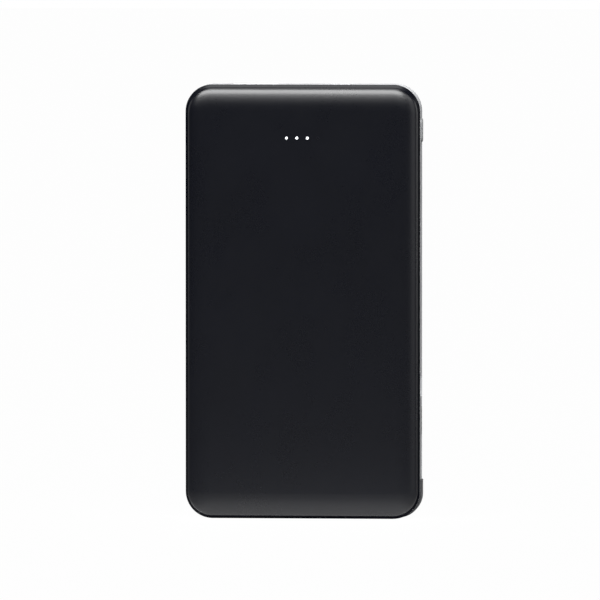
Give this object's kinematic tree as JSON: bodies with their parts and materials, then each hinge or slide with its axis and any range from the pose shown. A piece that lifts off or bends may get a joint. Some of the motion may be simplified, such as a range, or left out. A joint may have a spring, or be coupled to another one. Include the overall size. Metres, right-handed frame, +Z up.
{
  "type": "power bank",
  "caption": "Slim upright power bank with soft black covers, a light grey frame, status lights, a side button and a short charging lead folded round one corner.",
  "frame": {"origin": "middle of the flat bottom edge that it stands on", "axes": "+Z up along the long side, +X to the right seen from the front, the front face looks along -Y"},
  "size_m": [0.0681, 0.015, 0.125],
  "materials": {
    "cover_black": "satin",
    "frame_silver": "satin",
    "lead_rubber": "matt",
    "button_grey": "satin",
    "light_lit": "glowing",
    "light_dark": "smooth",
    "black_plastic": "matt",
    "plated_steel": "bright",
    "contact_gold": "bright",
    "socket_plastic": "matt",
    "board_green": "satin",
    "cell_foil": "satin",
    "foam_white": "matt",
    "wire_red": "satin",
    "capacitor_tan": "satin"
  },
  "bodies": {
    "case": {"board_post_1": "plated_steel", "board_post_2": "plated_steel", "board_screw_1": "plated_steel", "board_screw_2": "plated_steel", "boost_controller": "black_plastic", "cell_front": "cell_foil", "cell_pad_front": "foam_white", "cell_pad_rear": "foam_white", "cell_rear": "cell_foil", "cell_tabs": "contact_gold", "cell_tape": "foam_white", "charge_controller": "black_plastic", "circuit_board": "board_green", "front_cover": "cover_black", "guard_board": "board_green", "input_capacitor": "capacitor_tan", "lead_anchor": "lead_rubber", "lead_ribbon": "lead_rubber", "light_baffle": "black_plastic", "light_chip_1": "light_lit", "light_chip_2": "light_lit", "light_chip_3": "light_lit", "light_chip_4": "light_dark", "light_pipe_1": "light_lit", "light_pipe_2": "light_lit", "light_pipe_3": "light_lit", "light_pipe_4": "light_dark", "mid_frame": "frame_silver", "output_capacitor": "capacitor_tan", "power_inductor": "black_plastic", "power_transistor": "black_plastic", "rear_cover": "cover_black", "switch_body": "black_plastic", "usb_a_contacts": "contact_gold", "usb_a_shell": "plated_steel", "usb_a_tongue": "socket_plastic", "usb_c_contacts": "contact_gold", "usb_c_shell": "plated_steel", "usb_c_tongue": "socket_plastic", "wire_black": "black_plastic", "wire_red": "wire_red"},
    "button": {"side_button": "button_grey", "switch_plunger": "black_plastic"},
    "lead_first_link": {"lead_link_1": "lead_rubber"},
    "lead_second_link": {"lead_link_2": "lead_rubber"},
    "lead_end": {"lead_neck": "lead_rubber", "plug_grip": "frame_silver", "plug_shell": "plated_steel", "plug_core": "socket_plastic"}
  },
  "joints": [
    {"name": "button_press", "type": "slide", "parent": "case", "child": "button", "axis": [-1, 0, 0], "range_m": [0, 0.00025], "stiffness_N_per_m": 200},
    {"name": "lead_bend_root", "type": "hinge", "parent": "case", "child": "lead_first_link", "pos_m": [0.02921, 0, 0.00053], "axis": [0, 1, 0], "range_deg": [0, 30]},
    {"name": "lead_bend_middle", "type": "hinge", "parent": "lead_first_link", "child": "lead_second_link", "pos_m": [0.03226, 0, 0.00229], "axis": [0, 1, 0], "range_deg": [0, 30]},
    {"name": "lead_bend_end", "type": "hinge", "parent": "lead_second_link", "child": "lead_end", "pos_m": [0.03402, 0, 0.00534], "axis": [0, 1, 0], "range_deg": [0, 30]}
  ]
}
